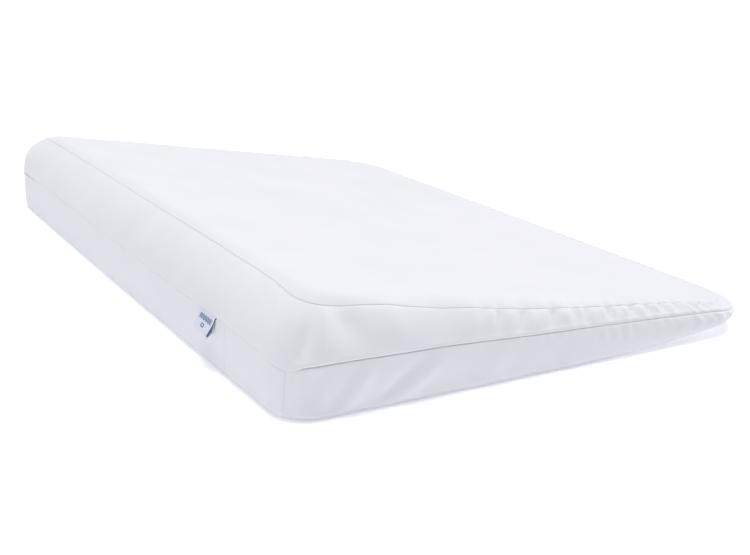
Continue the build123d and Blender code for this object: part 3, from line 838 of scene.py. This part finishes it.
def panel(name, rows, cells, height, out_of, turn, rim):
    """Top or bottom panel: rows from its seam inwards, then a filled middle."""
    plan = filled_plan(rows[-1, :, :2], *cells)
    middle = np.dstack([plan, height(plan[..., 0], plan[..., 1])])
    to_seam = np.concatenate([np.zeros((1, rows.shape[1])),
                              np.cumsum(np.linalg.norm(np.diff(rows, axis=0), axis=-1), 0)])
    normal = turn * normals_of(rows, True)
    middle_normal = -turn * normals_of(middle)
    rows = rows + normal * out_of(rows, to_seam)[..., None]
    rows += (rim - rows[0])[None] * np.exp(-(to_seam / SEAM_BAND) ** 2)[..., None]
    middle = middle + middle_normal * out_of(middle, None)[..., None]
    points, quads = capped(rows, middle, cells, turn)
    return new_piece(name, points, quads, points[:, :2][quads])


def rim_at(at, *names):
    """Edge of the borders at places round the outline."""
    u = np.mod(np.concatenate([rims[n][0] for n in names]), 4)
    edge = np.concatenate([rims[n][1] for n in names])
    order = np.argsort(u)
    return np.stack([np.interp(at, u[order], edge[order, k], period=4) for k in range(3)], -1)


def top_out(points, to_seam):
    """How far the top panel stands off the foam's shape; its middle has no seam near."""
    x, y = points[..., 0], points[..., 1]
    out = plan_swell(top_swell, x, y) + ripple(2.1 * x, y, 8, 16, 0.00030, 0.16, 0.22)
    if to_seam is None:
        return out
    run = run_of(PANEL_U)[None] + 0 * to_seam
    out = out * np.clip(to_seam / TOP_EASE, 0, 1)
    out += folds(run, to_seam, [(place, TOP_FOLD * depth, half, TOP_FOLD_REACH * reach, 0)
                                for place, depth, half, reach, _ in upper_gathers])
    return out + seam_dip(to_seam)


def bottom_out(points, to_seam):
    """The same of the bottom panel, which lies flat on the floor."""
    return 0 * points[..., 0] if to_seam is None else seam_dip(to_seam)


PANEL_CELLS = (160, 228)
PANEL_U = edge_steps(*PANEL_CELLS)
TOP_BAND, BOTTOM_BAND = 0.034, 0.020    # band of each panel that follows its seam
TOP_EASE = 0.004                        # band of the top panel held down by its seam
TOP_FOLD, TOP_FOLD_REACH = 0.15, 0.5    # gathers on the top panel, as shares of the border's
top_edge = wall(PANEL_U, top_seam_s(PANEL_U))
top_depth = depth_of(top_edge[:, 0], top_edge[:, 1])
band_x, band_y = ring(PANEL_U[None], top_depth + TOP_BAND * (np.linspace(0, 1, 14) ** 1.5)[:, None])
top_rows = np.stack([band_x, band_y, top_surface(band_x, band_y)], -1)
top_rows[0] = top_edge
under_wall, _ = strip_points(PANEL_U, np.linspace(0, 1, 6), bottom_seam_s(PANEL_U), -1 + 0 * PANEL_U)
under_depth = depth_of(under_wall[-1, :, 0], under_wall[-1, :, 1])
band_x, band_y = ring(PANEL_U[None], under_depth + BOTTOM_BAND * np.linspace(0, 1, 6)[1:, None])
under_rows = np.concatenate([under_wall, np.stack([band_x, band_y, underside(band_x)], -1)])

round_u = np.arange(BORDER_COLUMNS) * 4 / BORDER_COLUMNS
upper_border = border("upper_border", round_u, True, True)
finished_cloth(upper_border, "cover_upper_border")
lower_u = np.linspace(INSERT_LAST - 4, INSERT_FIRST, BORDER_COLUMNS)
lower_border = border("lower_border", lower_u, False, False)
finished_cloth(lower_border, "cover_lower_border")
insert_u = np.linspace(INSERT_FIRST, INSERT_LAST, 90)
insert = border("lower_border_insert", insert_u, False, False)
finished_cloth(insert, "cover_lower_border_insert")
top_panel = panel("top_panel", top_rows, PANEL_CELLS, top_surface, top_out, 1,
                  rim_at(PANEL_U, "upper_border"))
finished_cloth(top_panel, "cover_top_panel")
bottom_panel = panel("bottom_panel", under_rows, PANEL_CELLS, lambda x, y: underside(x), bottom_out, -1,
                     rim_at(PANEL_U, "lower_border", "lower_border_insert"))
finished_cloth(bottom_panel, "cover_bottom_panel")

# ---- zip tapes and coils ---------------------------------------------------------------
# An invisible zip runs round three sides and a little way on round the far tall corner.
# Each half is a ribbed polyester tape with a coil of nylon monofilament sewn along it.
# The cloth's turned-in edges meet in front, so only a thin dark line shows.
TAPE_DEPTH, TAPE_THICKNESS = 0.0011, 0.0004
SUNK = 0.0009               # how much deeper the zip lies off the far side
TAPE_REACH = 0.0088
COIL_DEPTH = 0.0024         # middle of a coil under the cover
COIL_SIZES = {"Pitch": 0.0015, "Wide": 0.0017, "Deep": 0.0015, "Wire radius": 0.00028}
ZIP_COLUMNS = 1100
CHAIN_FIRST, CHAIN_LAST = 0.012, 2.936  # u of the two ends of the coils


def facing(u, s, step=1e-3):
    """Outward direction of the side of the wedge."""
    along = wall(u + step, s) - wall(u - step, s)
    rise = wall(u, np.clip(s + step, -1, 1)) - wall(u, s - step)
    out = np.cross(along, rise)
    return out / np.linalg.norm(out, axis=-1, keepdims=True)


def middle_line(u, off, depth):
    """Point off above the middle seam and depth under the cover, with its outward direction."""
    s = s_of_height(u, round_curve(u, MIDDLE_SEAM) + off)
    out = facing(u, s)
    return wall(u, s) - (depth + SUNK * (1 - on_far_side(u)))[..., None] * out, out


tape_cloth, nodes, links, shader = new_finish("ribbed zip tape", (0.80, 0.80, 0.84), 0.85, 0.1)
weave_place = nodes.new("ShaderNodeUVMap").outputs["UV"]
mottled(nodes, links, shader, weave_place, (0.81, 0.81, 0.85), (0.76, 0.76, 0.81), 60)
bumped(nodes, links, shader, bands(nodes, links, weave_place, 0.0011, 'Y'), 0.00015)

nylon, nodes, links, shader = new_finish("nylon coil", (0.74, 0.74, 0.79), 0.38)
shader.inputs["Coat Weight"].default_value = 0.15
place = object_place(nodes)
mottled(nodes, links, shader, place, (0.76, 0.76, 0.81), (0.70, 0.70, 0.76), 400)


def row_tree(name, make_shape, sizes):
    """Geometry Nodes tree that sets one small shape after another along an edge path."""
    tree = bpy.data.node_groups.new(name, "GeometryNodeTree")
    face = tree.interface
    face.new_socket("Geometry", in_out='INPUT', socket_type="NodeSocketGeometry")
    for label, value in sizes.items():
        socket = face.new_socket(label, in_out='INPUT', socket_type="NodeSocketFloat")
        socket.default_value = value
    face.new_socket("Finish", in_out='INPUT', socket_type="NodeSocketMaterial")
    face.new_socket("Geometry", in_out='OUTPUT', socket_type="NodeSocketGeometry")
    nodes, links = tree.nodes, tree.links
    given, made = nodes.new("NodeGroupInput"), nodes.new("NodeGroupOutput")
    curve = add(nodes, links, "GeometryNodeMeshToCurve", {"Mesh": given.outputs["Geometry"]})
    evenly = add(nodes, links, "GeometryNodeResampleCurve",
                 {"Curve": curve.outputs["Curve"], "Length": given.outputs["Pitch"]}, mode='LENGTH')
    heading = nodes.new("GeometryNodeInputTangent")
    outward = add(nodes, links, "GeometryNodeInputNamedAttribute", {"Name": "outward"},
                  data_type='FLOAT_VECTOR')
    first = add(nodes, links, "FunctionNodeAlignRotationToVector", {"Vector": heading.outputs["Tangent"]},
                axis='X')
    second = add(nodes, links, "FunctionNodeAlignRotationToVector",
                 {"Rotation": first.outputs["Rotation"], "Vector": outward.outputs["Attribute"]},
                 axis='Z', pivot_axis='X')
    place = add(nodes, links, "GeometryNodeInstanceOnPoints",
                {"Points": evenly.outputs["Curve"], "Instance": make_shape(nodes, links, given),
                 "Rotation": second.outputs["Rotation"]})
    real = add(nodes, links, "GeometryNodeRealizeInstances", {"Geometry": place.outputs["Instances"]})
    finish = add(nodes, links, "GeometryNodeSetMaterial",
                 {"Geometry": real.outputs["Geometry"], "Material": given.outputs["Finish"]})
    links.new(finish.outputs["Geometry"], made.inputs["Geometry"])
    return tree


def coil_turn(nodes, links, given):
    """One turn of monofilament: a flattened ring of thin wire round the zip's line."""
    loop = add(nodes, links, "GeometryNodeCurvePrimitiveCircle", {"Resolution": 9, "Radius": 0.5})
    turned = add(nodes, links, "GeometryNodeTransform",
                 {"Geometry": loop.outputs["Curve"], "Rotation": (0, math.pi / 2, 0.12)})
    scale = add(nodes, links, "ShaderNodeCombineXYZ",
                {"X": 0.001, "Y": given.outputs["Wide"], "Z": given.outputs["Deep"]})
    flat = add(nodes, links, "GeometryNodeTransform",
               {"Geometry": turned.outputs["Geometry"], "Scale": scale.outputs["Vector"]})
    wire = add(nodes, links, "GeometryNodeCurvePrimitiveCircle",
               {"Resolution": 5, "Radius": given.outputs["Wire radius"]})
    swept = add(nodes, links, "GeometryNodeCurveToMesh",
                {"Curve": flat.outputs["Geometry"], "Profile Curve": wire.outputs["Curve"]})
    return swept.outputs["Mesh"]


def row_along(name, tree, points, outward, closed, finish, sizes):
    """Plain mesh of a row of shapes along a path, made by the tree."""
    count = len(points)
    mesh = bpy.data.meshes.new(name + "_path")
    edges = [(k, (k + 1) % count) for k in range(count if closed else count - 1)]
    mesh.from_pydata(points.tolist(), edges, [])
    attribute = mesh.attributes.new("outward", 'FLOAT_VECTOR', 'POINT')
    attribute.data.foreach_set("vector", outward.astype(np.float32).ravel())
    path = placed(name + "_path", mesh)
    row = path.modifiers.new("Row", 'NODES')
    row.node_group = tree
    for item in tree.interface.items_tree:
        if item.in_out == 'INPUT' and item.name in sizes:
            row[item.identifier] = sizes[item.name]
        if item.in_out == 'INPUT' and item.name == "Finish":
            row[item.identifier] = finish
    bpy.context.view_layer.update()
    made = bpy.data.meshes.new_from_object(path.evaluated_get(bpy.context.evaluated_depsgraph_get()))
    bpy.data.objects.remove(path)
    made.name = name
    return placed(name, made)


coil_tree = row_tree("Coil turns along a tape", coil_turn, COIL_SIZES)
tape_u = np.linspace(ZIP_FIRST - 0.008, ZIP_LAST, ZIP_COLUMNS)
chain_u = np.linspace(CHAIN_FIRST, CHAIN_LAST, ZIP_COLUMNS)
for side, sign, tape_area in (("upper", 1, 0.0168), ("lower", -1, 0.0115)):
    offs = np.sort(sign * np.linspace(SLIT_HALF, TAPE_REACH, 6))
    rows = np.stack([middle_line(tape_u, off, TAPE_DEPTH)[0] for off in offs])
    quads = grid_quads(len(offs), ZIP_COLUMNS)
    uv = np.stack([np.tile(run_of(tape_u), (len(offs), 1)), np.tile(offs[:, None], ZIP_COLUMNS)], -1)
    tape = new_piece(f"zip_tape_half_{side}", rows, quads, uv.reshape(-1, 2)[quads])
    finished_cloth(tape, f"zip_tape_{side}", tape_cloth, TAPE_THICKNESS)
    points, outward = middle_line(chain_u, sign * (SLIT_HALF + COIL_SIZES["Wide"] / 2), COIL_DEPTH)
    coil = row_along(f"zip_coil_turns_{side}", coil_tree, points, outward, False, nylon, COIL_SIZES)
    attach(coil, "wedge")
    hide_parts(f"zip_coil_{side}")

# ---- zip stops, slider and pull -----------------------------------------------------------
# Small clips of pressed aluminium close the two ends of the chain. The slider is die-cast
# zinc with a coat of white paint, parked at the closed end, and its flat pull swings on
# the arch over it.
aluminium, nodes, links, shader = new_finish("pressed aluminium", (0.74, 0.74, 0.76), 0.36)
shader.inputs["Metallic"].default_value = 1.0
place = object_place(nodes)
mottled(nodes, links, shader, place, (0.78, 0.78, 0.80), (0.68, 0.68, 0.71), 900)
painted, nodes, links, shader = new_finish("white painted zinc", (0.82, 0.82, 0.85), 0.32)
shader.inputs["Coat Weight"].default_value = 0.35
shader.inputs["Coat Roughness"].default_value = 0.2
place = object_place(nodes)
mottled(nodes, links, shader, place, (0.83, 0.83, 0.86), (0.79, 0.79, 0.83), 300)
orange_peel = add(nodes, links, "ShaderNodeTexNoise", {"Scale": 1400, "Vector": place})
bumped(nodes, links, shader, orange_peel.outputs["Fac"], 0.00002, 0.6)
for node, finish in (("zip_top_stops", aluminium), ("zip_slider", painted), ("zip_pull", painted)):
    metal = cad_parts[node]
    for place_of_finish in metal.material_slots:
        place_of_finish.material = finish

STOP_FIRST = 0.003          # u where the clip at the start of the chain begins
stop_u = np.linspace(STOP_FIRST, CHAIN_FIRST, 5)
# Height from the zip's line and depth under the cover, once round the clip.
stop_ring = [(-0.0026, 0.0017), (0.0, 0.0015), (0.0026, 0.0017), (0.0030, 0.0027), (0.0026, 0.0036),
             (0.0, 0.0038), (-0.0026, 0.0036), (-0.0030, 0.0027)]
stop_rows = np.stack([middle_line(stop_u, off, depth)[0] for off, depth in stop_ring], 1)
stop_ends = np.stack([stop_rows[0].mean(0), stop_rows[-1].mean(0)])
stop_quads = grid_quads(len(stop_u), len(stop_ring), closed=True)[:, ::-1].tolist()
last_row = (len(stop_u) - 1) * len(stop_ring)
first_end = stop_rows[..., 0].size
for k in range(len(stop_ring)):
    n = (k + 1) % len(stop_ring)
    stop_quads += [(first_end, n, k), (first_end + 1, last_row + k, last_row + n)]
clip_mesh = bpy.data.meshes.new("zip_bottom_clip")
clip_mesh.from_pydata(np.vstack([stop_rows.reshape(-1, 3), stop_ends]).tolist(), [], stop_quads)
clip = placed("zip_bottom_clip", clip_mesh)
clip.data.materials.append(aluminium)
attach(clip, "wedge")
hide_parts("zip_bottom_stop")

# ---- seam stitching ------------------------------------------------------------------------
# White polyester thread, sewn with a plain lockstitch. It shows as small bright dashes
# deep in the top seam, the bottom seam and the seam across the tall wall.
thread, nodes, links, shader = new_finish("white sewing thread", (0.86, 0.86, 0.89), 0.55, 0.2)
place = object_place(nodes)
mottled(nodes, links, shader, place, (0.88, 0.88, 0.91), (0.82, 0.82, 0.86), 500)


def stitch_shape(nodes, links, given):
    """One stitch: a short plump length of thread."""
    ball = add(nodes, links, "GeometryNodeMeshUVSphere", {"Segments": 8, "Rings": 5, "Radius": 0.5})
    scale = add(nodes, links, "ShaderNodeCombineXYZ",
                {"X": given.outputs["Long"], "Y": given.outputs["Thick"], "Z": given.outputs["Thick"]})
    drawn = add(nodes, links, "GeometryNodeTransform",
                {"Geometry": ball.outputs["Mesh"], "Scale": scale.outputs["Vector"]})
    smooth = add(nodes, links, "GeometryNodeSetShadeSmooth", {"Geometry": drawn.outputs["Geometry"]})
    return smooth.outputs["Geometry"]


STITCH_SIZES = {"Pitch": STITCH_PITCH, "Long": 0.0034, "Thick": 0.0004}
stitch_tree = row_tree("Stitches along a seam", stitch_shape, STITCH_SIZES)
whole_u = np.arange(1500) * 4 / 1500
wall_u = np.linspace(ZIP_LAST + 0.004, 3.988, 420)
for name, u, s, depth, strips in (
        ("top_seam_stitches", whole_u, top_seam_s(whole_u), 0.0002, ["upper_border"]),
        ("bottom_seam_stitches", whole_u, bottom_seam_s(whole_u), 0.0004,
         ["lower_border", "lower_border_insert"]),
        ("tall_wall_seam_stitches", wall_u, middle_seam_s(wall_u), 0.0008, [])):
    outward = facing(u, s)
    points = (rim_at(u, *strips) if strips else wall(u, s)) - depth * outward
    stitches = row_along(name, stitch_tree, points, outward, bool(strips), thread, STITCH_SIZES)
    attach(stitches, "wedge")

# ---- folded ribbon label --------------------------------------------------------------------
# A loop of satin ribbon, woven white with a dark edge, a band of bars and a small square.
# Both ends are caught in the seam across the tall wall, and the fold flares off the cloth.
LABEL_WIDTH, LABEL_THICKNESS = 0.0290, 0.0004
LABEL_FLARE, LESS_FLARE = 0.0080, 0.0012    # how far the fold stands off, and less at one side
LABEL_SOFTNESS = 37         # samples of 400 over which the ribbon rounds its bends
SELVEDGE = 0.0007           # dark edge
BAR_PITCH, BAR_GAP = 0.00115, 0.00030       # half the distance between bars, and half a gap
WAVY_PITCH, WAVY_SHARE = 0.0021, 0.45       # how the band's edges go up and down
BAND_DOWN, BAND_OVER = (0.0045, 0.0087), (0.0034, 0.0262)
SQUARE_DOWN, SQUARE_OVER = (0.0103, 0.0134), (0.0120, 0.0178)
HOLE_DOWN, HOLE_OVER = (0.0112, 0.0124), (0.0132, 0.0166)
label_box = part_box("side_label")
label_middle = (label_box[0][1] + label_box[1][1]) / 2
label_top, label_fold = ZIP_TALL - 0.0002, 0.0285
label_u = 3 + (CORNERS[3] * math.pi / 4 + (FAR_Y - label_middle) - CORNERS[3]) / (
    WIDTH + CORNERS[3] * (math.pi / 2 - 2))


def wall_face(z):
    """How far out the tall wall is at the label, at height z."""
    return float(wall(np.array([label_u]), s_of_height(np.array([label_u]), np.array([z])))[0, 0])


def label_path(flare):
    """Side view of the loop from its seam, down the front, round the fold and back up."""
    top_x = wall_face(label_top)
    front = [(top_x + 0.0010, label_top + 0.0006), (top_x - 0.0008, label_top - 0.0006),
             (top_x - 0.25 * flare, label_top - 0.0038), (top_x - 0.62 * flare, label_top - 0.0088),
             (top_x - flare, label_fold + 0.0008)]
    fold = [(top_x - flare - 0.0001, label_fold), (top_x - flare + 0.0009, label_fold - 0.0006)]
    back = [(top_x - 0.62 * flare, label_fold + 0.0008), (top_x - 0.30 * flare, label_fold + 0.0040),
            (top_x - 0.0016, label_fold + 0.0085), (top_x - 0.0009, label_top - 0.0020),
            (top_x + 0.0010, label_top - 0.0006)]
    return np.array(front + fold + back)


across_label = np.linspace(0, 1, 25)
steps = np.linspace(0, 1, 56)
rows = []
for f in across_label:
    path = label_path(LABEL_FLARE - LESS_FLARE * f)
    reach = np.concatenate([[0], np.cumsum(np.linalg.norm(np.diff(path, axis=0), axis=1))])
    reach /= reach[-1]
    fine = np.stack([np.interp(np.linspace(0, 1, 400), reach, path[:, k]) for k in (0, 1)], 1)
    kernel = np.hanning(LABEL_SOFTNESS) / np.hanning(LABEL_SOFTNESS).sum()
    padded = [np.pad(fine[:, k], LABEL_SOFTNESS // 2, mode="edge") for k in (0, 1)]
    soft = np.stack([np.convolve(line, kernel, "valid") for line in padded], 1)
    soft[0], soft[-1] = fine[0], fine[-1]
    length = np.concatenate([[0], np.cumsum(np.linalg.norm(np.diff(soft, axis=0), axis=1))])
    at = steps * length[-1]
    rows.append(np.stack([np.interp(at, length, soft[:, 0]),
                          np.full(len(steps), label_middle + (f - 0.5) * LABEL_WIDTH),
                          np.interp(at, length, soft[:, 1])], 1))
label_length = length[-1]
label_quads = grid_quads(len(across_label), len(steps))
label_uv = np.stack(np.broadcast_arrays(steps[None] * label_length,
                                        across_label[:, None] * LABEL_WIDTH), -1)

ribbon, nodes, links, shader = new_finish("woven satin ribbon", (0.80, 0.81, 0.90), 0.45, 0.3)
ribbon_place = nodes.new("ShaderNodeUVMap").outputs["UV"]
split = add(nodes, links, "ShaderNodeSeparateXYZ", {"Vector": ribbon_place})
down, over = split.outputs["X"], split.outputs["Y"]


def value(operation, *inputs):
    """One step of arithmetic on the ribbon's pattern."""
    return add(nodes, links, "ShaderNodeMath", enumerate(inputs), operation=operation).outputs["Value"]


def between(given, low, high):
    """1 where given lies between two numbers."""
    return value('MULTIPLY', value('GREATER_THAN', given, low), value('LESS_THAN', given, high))


dark_edge = value('MULTIPLY', value('LESS_THAN', over, SELVEDGE),
                  value('LESS_THAN', down, label_length / 2))
bars = value('GREATER_THAN', value('PINGPONG', over, BAR_PITCH), BAR_GAP)
wavy = value('MULTIPLY', value('PINGPONG', over, WAVY_PITCH), WAVY_SHARE)
band = value('MULTIPLY', between(value('ADD', down, wavy), *BAND_DOWN), between(over, *BAND_OVER))
band = value('MULTIPLY', band, bars)
square = value('MULTIPLY', between(down, *SQUARE_DOWN), between(over, *SQUARE_OVER))
hole = value('MULTIPLY', between(down, *HOLE_DOWN), between(over, *HOLE_OVER))
mark = value('MAXIMUM', band, value('SUBTRACT', square, hole))
WHITE_WEFT, BLUE_WEFT, NAVY_EDGE = (0.74, 0.76, 0.88, 1), (0.03, 0.09, 0.26, 1), (0.012, 0.030, 0.12, 1)
woven = nodes.new("ShaderNodeMix")
woven.data_type = 'RGBA'
woven.inputs["A"].default_value, woven.inputs["B"].default_value = WHITE_WEFT, BLUE_WEFT
links.new(mark, woven.inputs["Factor"])
edged = nodes.new("ShaderNodeMix")
edged.data_type = 'RGBA'
links.new(woven.outputs["Result"], edged.inputs["A"])
edged.inputs["B"].default_value = NAVY_EDGE
links.new(dark_edge, edged.inputs["Factor"])
links.new(edged.outputs["Result"], shader.inputs["Base Color"])
bumped(nodes, links, shader, bands(nodes, links, ribbon_place, 0.0004, 'Y'), 0.00005)
label = new_piece("folded_ribbon_label", np.array(rows), label_quads[:, ::-1],
                  label_uv.reshape(-1, 2)[label_quads][:, ::-1])
finished_cloth(label, "side_label",
               ribbon, LABEL_THICKNESS)

# ---- floor, light and camera -------------------------------------------------------------------
# A white paper sweep on the studio floor, lit by one large soft light overhead, towards
# the tall end, and two weak fills on the end walls. The camera stands at the near corner.
bpy.context.scene.view_settings.view_transform = 'Standard'
FLOOR_REACH = 60
sweep = new_piece("studio_floor", [(x * FLOOR_REACH, y * FLOOR_REACH, 0)
                                   for x, y in ((-1, -1), (1, -1), (1, 1), (-1, 1))], [(0, 1, 2, 3)])
paper, nodes, links, shader = new_finish("white studio paper", (0.70, 0.70, 0.70), 0.9)
mottled(nodes, links, shader, object_place(nodes),
        (0.935, 0.935, 0.935), (0.925, 0.925, 0.925), 2)
shader.inputs["Emission Color"].default_value = (0.93, 0.94, 1, 1)
shader.inputs["Emission Strength"].default_value = 0.31
sweep.data.materials.append(paper)

world = bpy.context.scene.world or bpy.data.worlds.new("studio")
bpy.context.scene.world = world
world.use_nodes = True
sky = world.node_tree.nodes["Background"]
sky.inputs["Color"].default_value = (0.90, 0.91, 1.0, 1)
sky.inputs["Strength"].default_value = 0.28
for name, strength, size, turn in (("overhead softbox", 2.50, 0.8, (-0.12, 0.05, 0)),
                                   ("fill on the tall wall", 0.17, 0.35, (0, -1.30, 0)),
                                   ("fill on the thin end", 0.75, 0.40, (0, 1.36, 0))):
    light = bpy.data.lights.new(name, 'SUN')
    light.energy, light.angle = strength, size
    placed(name, light).rotation_euler = turn

CAMERA_PLACE = (-0.5571, -0.9365, 0.3214)
YAW, PITCH, TILT = 0.5744, 0.3020, 0.0541
SENSOR = 36.0
FOCAL = 1061.7 / 750        # focal length over the frame's width
eye = bpy.data.cameras.new("camera")
eye.sensor_width = SENSOR
eye.lens = FOCAL * SENSOR
eye.shift_x, eye.shift_y = -0.0015, -0.0033
camera = placed("camera", eye)
forward = np.array([math.sin(YAW) * math.cos(PITCH), math.cos(YAW) * math.cos(PITCH), -math.sin(PITCH)])
level = np.array([math.cos(YAW), -math.sin(YAW), 0.0])
upward = np.cross(level, forward)
right = math.cos(TILT) * level + math.sin(TILT) * upward
head = -math.sin(TILT) * level + math.cos(TILT) * upward
turn = np.eye(4)
turn[:3, 0], turn[:3, 1], turn[:3, 2], turn[:3, 3] = right, head, -forward, CAMERA_PLACE
camera.matrix_world = Matrix(turn.tolist())
bpy.context.scene.camera = camera
